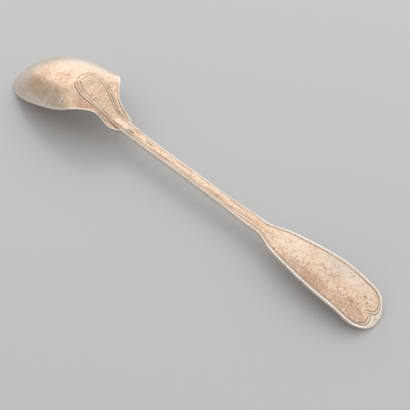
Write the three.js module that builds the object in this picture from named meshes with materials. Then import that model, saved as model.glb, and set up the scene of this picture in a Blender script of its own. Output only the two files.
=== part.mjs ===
// A large silver stew spoon with a threaded fiddle handle, lying face down as it is kept:
// the bowl's back is up, and it rests on the tip of the bowl and on the end of the handle.
// Millimetres. +X runs along the handle, +Z is up, and the table is z = 0.
// Stations along the spoon are measured from the tip of the bowl.
import * as THREE from "three";

// Driving sizes: the bowl
const BOWL_LENGTH = 108; // tip of the rim to the neck, where the three pieces are soldered
const BOWL_WIDTH = 53.8; // across the rim at its widest
const BOWL_DEPTH = 15.6; // the back above the rim where it is deepest
const HEEL_HEIGHT = 29; // highest stretch of the rim above the table
const RIM_WALL = 1.5; // width of the filed rim
const RIM_LAND = 0.4; // height of the rim's upright outer edge
const BACK_WALL = 1.9; // metal in the middle of the back
const SHOULDER_WIDTH = 11.8; // across the pair of shoulders beside the neck
const SHOULDER_ROUND = 2.1; // length of each shoulder's rounded end
const SHOULDER_THICKNESS = 2.0; // metal at the shoulders' edge

// Driving sizes: the drop that laps the bowl's back
const DROP_LENGTH = 40.4; // neck to the drop's round head
const DROP_WIDTH = 20.6; // across the head
const DROP_HEAD_THICKNESS = 0.7;
const DROP_NECK_THICKNESS = 1;
const SOLDER_GAP = 0.3; // left between the drop and the back under it

// Driving sizes: the handle
const HANDLE_LENGTH = 197.8; // neck to the handle's end
const NECK_HEIGHT = 15.8; // middle of the metal above the table at the neck
const NECK_WIDTH = 9.2;
const NECK_THICKNESS = 4.8;
const STEM_HEIGHT = 13.7;
const STEM_WIDTH = 7.9;
const STEM_THICKNESS = 4.6;
const STEM_FLANK = 3.2; // height of the stem's side, less than its middle
const SPATULA_HEIGHT = 12.8;
const SPATULA_WIDTH = 28.8;
const SPATULA_THICKNESS = 2.3;
const SPATULA_FLANK = 2;
const WORN_FLAT = 0.3; // metal worn away where the spoon meets the table

// Driving sizes: the threads, a pair of fine grooves that follows every edge
const STEM_THREAD_INSET = 0.75; // edge to the middle of the outer groove
const STEM_THREAD_PITCH = 0.75; // groove to groove
const SPATULA_THREAD_INSET = 1;
const SPATULA_THREAD_PITCH = 1.05;
const DROP_THREAD_INSET = 1.6;
const DROP_THREAD_PITCH = 2;
const THREAD_WIDTH = 0.5; // one groove, from lip to lip
const THREAD_DEPTH = 0.25;
const EDGE_ROUND = 0.45; // how far in a plate's edge is rounded over
const ACCOLADE_DEPTH = 4; // how far the thread dips from the handle's end
const ACCOLADE_WIDTH = 17.6;
const DROP_DIP_DEPTH = 1.3; // how far the inner groove is flattened at the drop's head
const DROP_DIP_WIDTH = 12.4;

const LENGTH = BOWL_LENGTH + HANDLE_LENGTH;

const mix = (a, b, share) => a + (b - a) * share;
const step = (from, to, x) => THREE.MathUtils.smoothstep(x, from, to);

// A smooth curve through the knots [x, y], as a function of x: a natural cubic spline.
function curveThrough(knots) {
  const last = knots.length - 1;
  const width = knots.slice(1).map(([x], i) => x - knots[i][0]);
  const slope = knots.slice(1).map(([, y], i) => (y - knots[i][1]) / width[i]);
  const bend = new Array(last + 1).fill(0);
  const pivot = new Array(last + 1).fill(1);
  for (let i = 1; i < last; i++) {
    const share = i > 1 ? width[i - 1] / pivot[i - 1] : 0;
    pivot[i] = 2 * (width[i - 1] + width[i]) - share * (i > 1 ? width[i - 1] : 0);
    bend[i] = 6 * (slope[i] - slope[i - 1]) - share * bend[i - 1];
  }
  for (let i = last - 1; i > 0; i--) bend[i] = (bend[i] - width[i] * bend[i + 1]) / pivot[i];
  return (x) => {
    let i = 0;
    while (i < last - 1 && x > knots[i + 1][0]) i++;
    const a = knots[i + 1][0] - x;
    const b = x - knots[i][0];
    return (
      (bend[i] * a ** 3 + bend[i + 1] * b ** 3) / (6 * width[i]) +
      (knots[i][1] / width[i] - (bend[i] * width[i]) / 6) * a +
      (knots[i + 1][1] / width[i] - (bend[i + 1] * width[i]) / 6) * b
    );
  };
}

// A half width whose square is smooth, so the outline is round where it closes.
function roundOutline(knots) {
  const square = curveThrough(knots.map(([x, y]) => [x, y * y]));
  return (x) => Math.sqrt(Math.max(square(x), 0));
}

// The rim seen from above: [share of the bowl's length, share of its half width].
const RIM_PLAN = [
  [0, 0],
  [0.016, 0.3],
  [0.05, 0.5],
  [0.115, 0.685],
  [0.26, 0.91],
  [0.42, 1],
  [0.56, 0.97],
  [0.7, 0.872],
  [0.782, 0.705],
  [0.847, 0.424],
];
const SHOULDER_START = 0.912; // where the shoulders' own outline begins
const SHOULDER_FLARE = 1.47; // how much wider they are there than at the neck
const rimPlan = roundOutline([
  ...RIM_PLAN.map(([along, wide]) => [along * BOWL_LENGTH, (wide * BOWL_WIDTH) / 2]),
  [SHOULDER_START * BOWL_LENGTH, (SHOULDER_FLARE * SHOULDER_WIDTH) / 2],
  [BOWL_LENGTH, SHOULDER_WIDTH / 2],
]);

// Half width of the rim and shoulders. Each shoulder's end is rounded in to the neck's width.
function bowlHalfWidth(s) {
  const past = Math.max(s - (BOWL_LENGTH - SHOULDER_ROUND), 0) / SHOULDER_ROUND;
  const turnIn = (SHOULDER_WIDTH - NECK_WIDTH) / 2;
  return rimPlan(s) - turnIn * (1 - Math.sqrt(Math.max(1 - past ** 2, 0)));
}

// Height of the rim: it climbs from the table to the heel and drops to the shoulders.
const rimHeight = curveThrough([
  [0, -WORN_FLAT],
  [0.06 * BOWL_LENGTH, 0.0295 * HEEL_HEIGHT],
  [0.17 * BOWL_LENGTH, 0.167 * HEEL_HEIGHT],
  [0.28 * BOWL_LENGTH, 0.339 * HEEL_HEIGHT],
  [0.42 * BOWL_LENGTH, 0.536 * HEEL_HEIGHT],
  [0.56 * BOWL_LENGTH, 0.703 * HEEL_HEIGHT],
  [0.7 * BOWL_LENGTH, 0.893 * HEEL_HEIGHT],
  [0.78 * BOWL_LENGTH, HEEL_HEIGHT],
  [0.85 * BOWL_LENGTH, mix(NECK_HEIGHT, HEEL_HEIGHT, 0.775)],
  [0.912 * BOWL_LENGTH, mix(NECK_HEIGHT, HEEL_HEIGHT, 0.25)],
  [BOWL_LENGTH, NECK_HEIGHT],
]);

// What is left of the neck's height for the bowl's own metal, under the drop.
const NECK_WALL = NECK_THICKNESS - DROP_NECK_THICKNESS - SOLDER_GAP;
const NECK_BACK = NECK_HEIGHT - NECK_THICKNESS / 2 + NECK_WALL;

// Height of the back's middle over its edge. Below 0 the heel is a saddle between its corners.
const bulge = curveThrough([
  ...[
    [0, 0],
    [0.09, 0.53],
    [0.19, 0.85],
    [0.3, 0.985],
    [0.43, 1],
    [0.56, 0.9],
    [0.63, 0.8],
    [0.7, 0.56],
    [0.76, 0.2],
    [0.82, -0.1],
    [0.88, -0.15],
    [0.94, -0.08],
  ].map(([along, high]) => [along * BOWL_LENGTH, high * (BOWL_DEPTH - RIM_LAND)]),
  [BOWL_LENGTH, NECK_BACK - NECK_HEIGHT - SHOULDER_THICKNESS / 2],
]);

// 0 in the bowl, 1 in the shoulders: the thin wall turns into a plate there.
const plateShare = (s) => step(0.78 * BOWL_LENGTH, 0.94 * BOWL_LENGTH, s);
const DOME_POWER = 0.67; // below 1 the bowl's sides stand steep and its back is broad
const dome = (s, v) =>
  Math.max(1 - v * v, 0) ** mix(DOME_POWER, 1, step(0.55 * BOWL_LENGTH, 0.85 * BOWL_LENGTH, s));

// Height of the bowl's back at a station s, a share v of the half width from the middle.
function backHeight(s, v) {
  const edge = Math.max(rimHeight(s), 0) + mix(RIM_LAND, SHOULDER_THICKNESS / 2, plateShare(s));
  return edge + bulge(s) * dome(s, v);
}

// Height of the bowl's inside, or of the shoulders' front. The wall tapers towards the tip.
function frontHeight(s, v) {
  const edge = rimHeight(s) - (plateShare(s) * SHOULDER_THICKNESS) / 2;
  const wall = mix(BACK_WALL, NECK_WALL, step(0.7 * BOWL_LENGTH, BOWL_LENGTH, s));
  const inTip = s < 0.2 * BOWL_LENGTH;
  const lowest = inTip ? edge + 0.2 * bulge(s) : 0;
  const middle = Math.max(backHeight(s, 0) - wall, lowest);
  return edge + (middle - edge) * dome(s, v);
}

// Turns a grid of points, row by row, into the triangles between neighbouring rows. Metal that
// would lie below the table is worn away flat.
class Skin {
  constructor() {
    this.positions = [];
    this.faces = [];
  }
  point(s, y, z) {
    this.positions.push(s - LENGTH / 2, y, Math.max(z, 0));
    return this.positions.length / 3 - 1;
  }
  triangle(a, b, c) {
    if (a !== b && b !== c && c !== a) this.faces.push(a, b, c);
  }
  strip(rowA, rowB) {
    for (let i = 0; i + 1 < rowA.length; i++) {
      this.triangle(rowA[i], rowB[i + 1], rowB[i]);
      this.triangle(rowA[i], rowA[i + 1], rowB[i + 1]);
    }
  }
  geometry() {
    const geometry = new THREE.BufferGeometry();
    geometry.setAttribute("position", new THREE.Float32BufferAttribute(this.positions, 3));
    geometry.setIndex(this.faces);
    geometry.computeVertexNormals();
    return geometry;
  }
}

const BOWL_STATIONS = 52;
const BOWL_COLUMNS = 24;

// The bowl and its shoulders: one raised shell whose wall thickens into a plate at the neck.
function bowlGeometry() {
  const skin = new Skin();
  const across = Array.from({ length: BOWL_COLUMNS + 1 }, (_, j) =>
    Math.sin(Math.PI * (j / BOWL_COLUMNS - 0.5)),
  );
  const stations = Array.from({ length: BOWL_STATIONS + 1 }, (_, i) =>
    (BOWL_LENGTH * (1 - Math.cos((Math.PI * i) / BOWL_STATIONS))) / 2,
  );
  // A row of points across the bowl, or one point again and again where it has no width.
  const rowAt = (shares, s, half, height) => {
    if (half > 0) return shares.map((v) => skin.point(s, v * half, height(v)));
    const tip = skin.point(s, 0, height(1));
    return shares.map(() => tip);
  };
  const backRows = [];
  const frontRows = [];
  const rimRows = [];
  stations.forEach((s) => {
    const half = bowlHalfWidth(s);
    backRows.push(rowAt(across, s, half, (v) => backHeight(s, v)));
    // The rim's inner edge lies one wall in from the outline, square to it.
    const nudge = 0.05;
    const ahead = Math.min(s + nudge, BOWL_LENGTH);
    const behind = Math.max(s - nudge, 0);
    const turn = new THREE.Vector2(
      bowlHalfWidth(behind) - bowlHalfWidth(ahead),
      ahead - behind,
    ).normalize();
    const wall = mix(RIM_WALL, 0, plateShare(s));
    const inner = Math.max(half - wall * turn.y, 0);
    const along = s - wall * turn.x;
    const front = rowAt(across, along, inner, (v) => frontHeight(s, v));
    frontRows.push(front);
    // Where the rim has no width left, its outer edge is the front's own.
    const ownEdge = [front[0], front[BOWL_COLUMNS]];
    rimRows.push(wall > 0 ? rowAt([-1, 1], s, half, (v) => frontHeight(s, v)) : ownEdge);
  });
  const last = BOWL_STATIONS;
  for (let i = 0; i < last; i++) {
    skin.strip(backRows[i + 1], backRows[i]);
    skin.strip(frontRows[i], frontRows[i + 1]);
  }
  const side = (rows, j) => rows.map((row) => row[j]);
  skin.strip(side(frontRows, 0), side(rimRows, 0));
  skin.strip(side(rimRows, 0), side(backRows, 0));
  skin.strip(side(backRows, BOWL_COLUMNS), side(rimRows, 1));
  skin.strip(side(rimRows, 1), side(frontRows, BOWL_COLUMNS));
  skin.strip(frontRows[last], backRows[last]);
  return skin.geometry();
}

// The columns of a plate with a rounded end: each runs from a point of the outline in to the
// middle line. Past the start of the fan they close in on one stretch of it.
function plateColumns(stations, halfWidth, fanStart, fanEnd) {
  const end = stations[stations.length - 1];
  return stations.map((s) => {
    const into = THREE.MathUtils.clamp((s - fanStart) / (end - fanStart), 0, 1);
    return { s, half: halfWidth(s), middle: into > 0 ? mix(fanStart, fanEnd, into) : s };
  });
}

// Ring by ring from the outline to the middle line: the rounded edge, the pair of thread
// grooves, then the field. Each ring has its distance from the outline and its height.
function threadedRings(flank, middle, inset, pitch, reach) {
  const groove = (centre) => [
    [centre - THREAD_WIDTH / 2, flank],
    [centre, flank - THREAD_DEPTH],
    [centre + THREAD_WIDTH / 2, flank],
  ];
  const inner = inset + pitch + THREAD_WIDTH / 2;
  const fit = Math.min(1, (0.85 * reach) / inner);
  return [
    [EDGE_ROUND / 3, 0.55 * flank],
    [EDGE_ROUND, flank],
    ...groove(inset),
    ...groove(inset + pitch),
  ]
    .map(([distance, height]) => [distance * fit, height])
    .concat([
      [mix(inner * fit, reach, 0.5), mix(flank, middle, 0.75)],
      [reach, middle],
    ]);
}

// A plate on those columns. ringsOf gives a column's rings, and lift puts a point of the plan
// at a height over the plate's own surface, on its top or on its underside.
function plateGeometry(columns, ringsOf, lift) {
  const skin = new Skin();
  const around = [
    ...columns.map((column) => ({ ...column, side: 1 })),
    ...columns.slice(0, -1).reverse().map((column) => ({ ...column, side: -1 })),
  ];
  const top = [];
  const under = [];
  around.forEach(({ s, half, middle, side }) => {
    const reach = Math.hypot(s - middle, half);
    const rings = ringsOf(s, half, reach);
    const put = (distance, height, face) => {
      const share = distance / reach;
      const [along, z] = lift(mix(s, middle, share), mix(half, 0, share), height, face);
      return skin.point(along, side * mix(half, 0, share), z);
    };
    const edge = put(0, 0, 0);
    top.push([edge, ...rings.map(([distance, height]) => put(distance, height, 1))]);
    under.push([edge, ...rings.map(([distance, height]) => put(distance, height, -1))]);
  });
  for (let i = 0; i + 1 < around.length; i++) {
    skin.strip(top[i + 1], top[i]);
    skin.strip(under[i], under[i + 1]);
  }
  // The flat end at the neck, as a fan about its middle.
  const far = [...top[0]].reverse().concat(under[0].slice(1));
  const near = [...top[top.length - 1]].reverse().concat(under[under.length - 1].slice(1));
  const heights = far.map((index) => skin.positions[3 * index + 2]);
  const middleHeight = (heights[0] + heights[heights.length - 1]) / 2;
  const centre = skin.point(columns[0].s, 0, middleHeight);
  for (let i = 0; i + 1 < far.length; i++) {
    skin.triangle(centre, far[i + 1], far[i]);
    skin.triangle(centre, near[i], near[i + 1]);
  }
  // Along +X the same order of points winds the other way round.
  if (columns[0].s < columns[columns.length - 1].s) skin.faces.reverse();
  return skin.geometry();
}

const evenly = (from, to, count) =>
  Array.from({ length: count }, (_, i) => mix(from, to, i / count));
const roundedEnd = (from, to, count) =>
  Array.from({ length: count + 1 }, (_, i) => mix(from, to, Math.sin((Math.PI * i) / count / 2)));

// The drop's outline: a slim tongue at the neck that swells to an egg-shaped head.
const DROP_HEAD = BOWL_LENGTH - DROP_LENGTH;
const DROP_NECK_INSET = 0.5; // how far the tongue's sides stay inside the stem's at the neck
const dropHalfWidth = roundOutline([
  ...[
    [0, 0],
    [0.03, 0.505],
    [0.11, 0.785],
    [0.19, 0.91],
    [0.29, 1],
    [0.4, 0.955],
    [0.5, 0.84],
    [0.6, 0.665],
  ].map(([along, wide]) => [DROP_HEAD + along * DROP_LENGTH, (wide * DROP_WIDTH) / 2]),
  [DROP_HEAD + 0.7 * DROP_LENGTH, mix(NECK_WIDTH, DROP_WIDTH, 0.12) / 2],
  [DROP_HEAD + 0.8 * DROP_LENGTH, NECK_WIDTH / 2 - 0.4 * DROP_NECK_INSET],
  [BOWL_LENGTH, NECK_WIDTH / 2 - DROP_NECK_INSET],
]);

// An accolade's dip at a distance y from the middle line: two arcs that meet in a point.
const accolade = (y, depth, width) => depth * Math.max(1 - Math.abs(y) / (width / 2), 0) ** 2;

// The drop: the tongue soldered over the joint, on the bowl's back.
function dropGeometry() {
  const waist = DROP_HEAD + 0.3 * DROP_LENGTH;
  const stations = [...evenly(BOWL_LENGTH, waist, 12), ...roundedEnd(waist, DROP_HEAD, 12)];
  const headMiddle = DROP_HEAD + 0.2 * DROP_LENGTH;
  const columns = plateColumns(stations, dropHalfWidth, waist, headMiddle);
  const thickness = (s) =>
    mix(DROP_HEAD_THICKNESS, DROP_NECK_THICKNESS, step(waist, BOWL_LENGTH, s));
  const rings = (s, half, reach) => {
    const high = thickness(s);
    const toStem = step(DROP_HEAD + 0.45 * DROP_LENGTH, DROP_HEAD + 0.8 * DROP_LENGTH, s);
    const off = half / (DROP_DIP_WIDTH / 2);
    const dip = s < waist ? DROP_DIP_DEPTH * Math.max(1 - off ** 4, 0) : 0;
    const inset = mix(DROP_THREAD_INSET, STEM_THREAD_INSET, toStem);
    const pitch = mix(DROP_THREAD_PITCH, STEM_THREAD_PITCH, toStem) + dip;
    return threadedRings(high, high, inset, pitch, reach);
  };
  const lift = (s, y, height, face) => [
    s,
    backHeight(s, y / bowlHalfWidth(s)) + SOLDER_GAP + (face > 0 ? height : 0),
  ];
  return plateGeometry(columns, rings, lift);
}

// The handle's outline: the stem, then the fiddle-shaped spatula with its small shoulders.
const handleStation = (share) => BOWL_LENGTH + share * HANDLE_LENGTH;
const SPATULA_START = handleStation(0.54);
const SPATULA_END_START = handleStation(0.9);
const handleHalfWidth = roundOutline([
  [BOWL_LENGTH, NECK_WIDTH / 2],
  [handleStation(0.11), mix(STEM_WIDTH, NECK_WIDTH, 0.2) / 2],
  [handleStation(0.25), STEM_WIDTH / 2],
  [handleStation(0.4), STEM_WIDTH / 2],
  [handleStation(0.5), mix(STEM_WIDTH, SPATULA_WIDTH, 0.045) / 2],
  [handleStation(0.56), mix(STEM_WIDTH, SPATULA_WIDTH, 0.08) / 2],
  [handleStation(0.605), mix(STEM_WIDTH, SPATULA_WIDTH, 0.155) / 2],
  [handleStation(0.65), mix(STEM_WIDTH, SPATULA_WIDTH, 0.47) / 2],
  [handleStation(0.7), mix(STEM_WIDTH, SPATULA_WIDTH, 0.67) / 2],
  [handleStation(0.86), SPATULA_WIDTH / 2],
  [handleStation(0.92), (0.98 * SPATULA_WIDTH) / 2],
  [handleStation(0.968), (0.86 * SPATULA_WIDTH) / 2],
  [LENGTH, 0],
]);

// Height of the middle of the metal: the handle arches a little and bows down to the table.
const END_HEIGHT = SPATULA_FLANK / 4 - 2 * WORN_FLAT;
const handleHeight = curveThrough([
  [BOWL_LENGTH, NECK_HEIGHT],
  [handleStation(0.065), mix(STEM_HEIGHT, NECK_HEIGHT, 0.45)],
  [handleStation(0.24), STEM_HEIGHT],
  [handleStation(0.48), mix(SPATULA_HEIGHT, STEM_HEIGHT, -0.3)],
  [handleStation(0.69), SPATULA_HEIGHT],
  [handleStation(0.8), mix(END_HEIGHT, SPATULA_HEIGHT, 0.99)],
  [handleStation(0.875), mix(END_HEIGHT, SPATULA_HEIGHT, 0.9)],
  [handleStation(0.935), mix(END_HEIGHT, SPATULA_HEIGHT, 0.68)],
  [handleStation(0.975), mix(END_HEIGHT, SPATULA_HEIGHT, 0.37)],
  [LENGTH, END_HEIGHT],
]);

// The handle: stem and spatula, forged in one, with threads on both faces.
function handleGeometry() {
  const stations = [
    ...evenly(BOWL_LENGTH, SPATULA_START, 18),
    ...evenly(SPATULA_START, handleStation(0.7), 12),
    ...evenly(handleStation(0.7), SPATULA_END_START, 8),
    ...roundedEnd(SPATULA_END_START, LENGTH, 14),
  ];
  const fanStart = LENGTH - SPATULA_WIDTH / 2;
  const columns = plateColumns(stations, handleHalfWidth, fanStart, fanStart + SPATULA_WIDTH / 8);
  const spread = (s) => step(handleStation(0.45), handleStation(0.75), s);
  const rings = (s, half, reach) => {
    const flank = mix(STEM_FLANK, SPATULA_FLANK, spread(s)) / 2;
    const neck = mix(NECK_THICKNESS, STEM_THICKNESS, step(BOWL_LENGTH, handleStation(0.15), s));
    const middle = mix(neck, SPATULA_THICKNESS, spread(s)) / 2;
    const dip = s > SPATULA_END_START ? accolade(half, ACCOLADE_DEPTH, ACCOLADE_WIDTH) : 0;
    const inset = mix(STEM_THREAD_INSET, SPATULA_THREAD_INSET, spread(s)) + dip;
    const pitch = mix(STEM_THREAD_PITCH, SPATULA_THREAD_PITCH, spread(s));
    return threadedRings(flank, middle, inset, pitch, reach);
  };
  // The metal is laid square to its middle line, and upright at the flat end by the neck.
  const lift = (s, y, height, face) => {
    const nudge = 0.1;
    const rise = (handleHeight(s + nudge) - handleHeight(s - nudge)) / (2 * nudge);
    const lean = rise * step(BOWL_LENGTH, handleStation(0.1), s);
    const square = Math.hypot(1, lean);
    return [s - (face * height * lean) / square, handleHeight(s) + (face * height) / square];
  };
  return plateGeometry(columns, rings, lift);
}

const silver = (colour, roughness) =>
  new THREE.MeshStandardMaterial({ color: colour, roughness, metalness: 1 });

const spoon = new THREE.Group();
const add = (name, geometry, material) => {
  const mesh = new THREE.Mesh(geometry, material);
  mesh.name = name;
  spoon.add(mesh);
};
add("bowl", bowlGeometry(), silver("#cdb9a4", 0.32));
add("drop", dropGeometry(), silver("#cfb79f", 0.34));
add("handle", handleGeometry(), silver("#d0b49c", 0.36));

export default spoon;
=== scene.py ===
"""A large silver stew spoon lying face down, dressed in silver with its wear and tarnishing,
and with painted highlights, reflections and shade.

Shapes are in millimetres, as in the part's source, until a piece is finished in metres.
Stations along the spoon are measured from the tip of the bowl, and offsets across it from its
middle line: they are above 0 on the far side and below 0 on the near side.
"""

import math

import bmesh
import bpy
import numpy as np
from mathutils import Matrix, Vector


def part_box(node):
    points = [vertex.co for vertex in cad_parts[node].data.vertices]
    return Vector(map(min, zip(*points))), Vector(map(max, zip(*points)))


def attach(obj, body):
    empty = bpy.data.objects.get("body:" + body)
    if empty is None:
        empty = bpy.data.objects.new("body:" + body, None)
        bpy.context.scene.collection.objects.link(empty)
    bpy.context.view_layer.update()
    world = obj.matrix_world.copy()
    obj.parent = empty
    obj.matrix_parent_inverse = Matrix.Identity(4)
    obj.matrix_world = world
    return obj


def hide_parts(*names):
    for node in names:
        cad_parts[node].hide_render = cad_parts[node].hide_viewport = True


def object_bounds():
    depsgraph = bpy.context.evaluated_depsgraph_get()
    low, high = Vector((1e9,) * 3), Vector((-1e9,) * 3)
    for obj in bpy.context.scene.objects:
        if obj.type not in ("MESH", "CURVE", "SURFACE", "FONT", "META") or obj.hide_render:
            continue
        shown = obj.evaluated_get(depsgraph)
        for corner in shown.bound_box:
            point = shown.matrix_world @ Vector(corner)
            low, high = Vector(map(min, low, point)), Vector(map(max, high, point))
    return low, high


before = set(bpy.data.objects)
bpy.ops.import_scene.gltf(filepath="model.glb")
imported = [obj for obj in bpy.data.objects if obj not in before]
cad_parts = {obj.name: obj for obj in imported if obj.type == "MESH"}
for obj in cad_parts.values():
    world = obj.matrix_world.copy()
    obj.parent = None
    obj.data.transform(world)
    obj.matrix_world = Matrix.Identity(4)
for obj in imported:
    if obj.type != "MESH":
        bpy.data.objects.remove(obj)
cad_low, cad_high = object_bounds()

MM = 0.001

# Driving sizes of the bowl.
BOWL_LENGTH = (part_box("bowl")[1].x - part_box("bowl")[0].x) / MM
BOWL_WIDTH = 53.8
BOWL_DEPTH = 15.6  # the back above the rim where it is deepest
HEEL_HEIGHT = 29  # highest stretch of the rim above the table
RIM_WALL = 1.5  # width of the filed rim
RIM_LAND = 0.4  # height of the rim's outer edge
BACK_WALL = 1.9  # metal in the middle of the back
SHOULDER_WIDTH = 11.8  # across the pair of shoulders beside the neck
SHOULDER_ROUND = 2.1  # length of each shoulder's rounded end
SHOULDER_THICKNESS = 2.0

# Driving sizes of the drop that laps the bowl's back.
DROP_LENGTH = 40.4
DROP_WIDTH = 20.6
DROP_RISE = 0.75  # height of its face over the back
DROP_ROOM = 1.3  # what the drop and its solder take of the neck's thickness
DROP_HEAD = BOWL_LENGTH - DROP_LENGTH  # the station where its round head ends
FOOT = 0.25  # fillet of solder around the drop

# Driving sizes of the handle. Heights are those of the middle of the metal.
HANDLE_LENGTH = 197.8
LENGTH = BOWL_LENGTH + HANDLE_LENGTH
NECK_HEIGHT = 15.8
NECK_WIDTH = 9.2
NECK_THICKNESS = 4.8
STEM_HEIGHT = 13.7
STEM_WIDTH = 7.9
STEM_THICKNESS = 4.6
STEM_FLANK = 3.2  # height of the stem's side
SPATULA_HEIGHT = 12.8
SPATULA_WIDTH = 28.8
SPATULA_THICKNESS = 2.3
SPATULA_FLANK = 2
WORN_FLAT = 0.3  # metal worn away where the spoon meets the table

# Driving sizes of the threads, a pair of fine grooves that follows every edge.
STEM_THREAD_INSET = 0.9  # edge to the middle of the outer groove
STEM_THREAD_PITCH = 0.8  # groove to groove
SPATULA_THREAD_INSET = 1.5
SPATULA_THREAD_PITCH = 0.7
DROP_THREAD_INSET = 1.6
DROP_THREAD_PITCH = 2.0
THREAD_BEAD = 0.6  # how far the round metal beside a groove reaches
THREAD_DIRT = 0.42  # width of the dirt that a groove holds
THREAD_DEPTH = 0.25
EDGE = 0.5  # how far in a plate's edge is rounded over
ACCOLADE_DEPTH = 4  # how far the thread dips from the handle's end
ACCOLADE_WIDTH = 17.6
ACCOLADE_SPREAD = 1.0  # how much farther apart its two grooves lie
ACCOLADE_PARTING = (0.85, 0.3)  # shares of the half width between which they part
ACCOLADE_DIRT = (0.9, 0.5)  # and between which the outer one gets as dirty as the inner
DROP_DIP_DEPTH = 1.3  # how far the inner groove is flattened at the drop's head
DROP_DIP_WIDTH = 12.4


def mix(a, b, share):
    return a + (b - a) * share


def step(start, end, x):
    """0 at start, 1 at end and smooth between them, whichever of the two is larger."""
    share = np.clip((x - start) / (end - start), 0, 1)
    return share * share * (3 - 2 * share)


def curve_through(knots):
    """A smooth curve through the knots (x, y), as a function of x: a natural cubic spline."""
    x, y = np.array(knots, float).T
    width = np.diff(x)
    slope = np.diff(y) / width
    bend = np.zeros(len(x))
    beside = width[1:-1]
    system = np.diag(2 * (width[:-1] + width[1:])) + np.diag(beside, 1) + np.diag(beside, -1)
    bend[1:-1] = np.linalg.solve(system, 6 * np.diff(slope))

    def height(at):
        at = np.asarray(at, float)
        i = np.clip(np.searchsorted(x, at) - 1, 0, len(width) - 1)
        a = x[i + 1] - at
        b = at - x[i]
        cubic = (bend[i] * a**3 + bend[i + 1] * b**3) / (6 * width[i])
        left = (y[i] / width[i] - bend[i] * width[i] / 6) * a
        right = (y[i + 1] / width[i] - bend[i + 1] * width[i] / 6) * b
        return cubic + left + right

    return height


def round_outline(knots):
    """A half width whose square is smooth, so that the outline is round where it closes."""
    square = curve_through([(x, y * y) for x, y in knots])
    return lambda at: np.sqrt(np.maximum(square(at), 0))


def rolled(distance, radius):
    """How far a rounded edge has dropped at a distance from the outline."""
    past = np.clip(radius - distance, 0, radius)
    return radius - np.sqrt(np.maximum(radius**2 - past**2, 0))


def groove(distance, width=THREAD_DIRT):
    """1 in the middle of a groove, 0 at its lips."""
    share = np.clip(np.abs(distance) / (width / 2), 0, 1)
    return 0.5 + 0.5 * np.cos(math.pi * share)


# The bowl's outline: share of its length, share of its half width.
RIM_PLAN = [
    (0, 0),
    (0.016, 0.3),
    (0.05, 0.5),
    (0.115, 0.685),
    (0.26, 0.91),
    (0.42, 1),
    (0.56, 0.97),
    (0.7, 0.872),
    (0.782, 0.705),
    (0.847, 0.424),
]
SHOULDER_START = 0.912  # where the shoulders' own outline begins
SHOULDER_FLARE = 1.47  # how much wider they are there than at the neck
rim_plan = round_outline(
    [(along * BOWL_LENGTH, wide * BOWL_WIDTH / 2) for along, wide in RIM_PLAN]
    + [
        (SHOULDER_START * BOWL_LENGTH, SHOULDER_FLARE * SHOULDER_WIDTH / 2),
        (BOWL_LENGTH, SHOULDER_WIDTH / 2),
    ]
)

# Height of the rim: it climbs from the table to the heel and drops to the shoulders.
rim_height = curve_through(
    [
        (0, -WORN_FLAT),
        (0.06 * BOWL_LENGTH, 0.0295 * HEEL_HEIGHT),
        (0.17 * BOWL_LENGTH, 0.167 * HEEL_HEIGHT),
        (0.28 * BOWL_LENGTH, 0.339 * HEEL_HEIGHT),
        (0.42 * BOWL_LENGTH, 0.536 * HEEL_HEIGHT),
        (0.56 * BOWL_LENGTH, 0.703 * HEEL_HEIGHT),
        (0.7 * BOWL_LENGTH, 0.893 * HEEL_HEIGHT),
        (0.78 * BOWL_LENGTH, HEEL_HEIGHT),
        (0.85 * BOWL_LENGTH, mix(NECK_HEIGHT, HEEL_HEIGHT, 0.775)),
        (SHOULDER_START * BOWL_LENGTH, mix(NECK_HEIGHT, HEEL_HEIGHT, 0.25)),
        (BOWL_LENGTH, NECK_HEIGHT),
    ]
)

# Middle of the back over its edge: share of the bowl's length, share of its depth. Below 0 the
# heel is a saddle between its corners.
BACK_PROFILE = [
    (0, 0),
    (0.09, 0.53),
    (0.19, 0.85),
    (0.3, 0.985),
    (0.43, 1),
    (0.56, 0.9),
    (0.63, 0.8),
    (0.7, 0.56),
    (0.76, 0.2),
    (0.82, -0.1),
    (0.88, -0.15),
    (0.94, -0.08),
]
NECK_WALL = NECK_THICKNESS - DROP_ROOM
NECK_BACK = NECK_HEIGHT - NECK_THICKNESS / 2 + NECK_WALL
bulge = curve_through(
    [(along * BOWL_LENGTH, high * (BOWL_DEPTH - RIM_LAND)) for along, high in BACK_PROFILE]
    + [(BOWL_LENGTH, NECK_BACK - NECK_HEIGHT - SHOULDER_THICKNESS / 2)]
)


def bowl_half_width(s):
    """Half width of the rim and shoulders, whose ends are rounded in to the neck's width."""
    past = np.clip((s - (BOWL_LENGTH - SHOULDER_ROUND)) / SHOULDER_ROUND, 0, 1)
    turn_in = (SHOULDER_WIDTH - NECK_WIDTH) / 2
    return rim_plan(s) - turn_in * (1 - np.sqrt(1 - past**2))


def plate_share(s):
    """0 in the bowl, 1 in the shoulders, where its thin wall becomes a plate."""
    return step(0.78 * BOWL_LENGTH, 0.94 * BOWL_LENGTH, s)


DOME_POWER = 0.67  # below 1 the bowl's sides stand steep and its back is broad


def dome(s, v):
    power = mix(DOME_POWER, 1, step(0.55 * BOWL_LENGTH, 0.85 * BOWL_LENGTH, s))
    return np.maximum(1 - v * v, 0) ** power


def back_height(s, v):
    """Height of the bowl's back, a share v of the half width from the middle."""
    edge = np.maximum(rim_height(s), 0) + mix(RIM_LAND, SHOULDER_THICKNESS / 2, plate_share(s))
    return edge + bulge(s) * dome(s, v)


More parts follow.
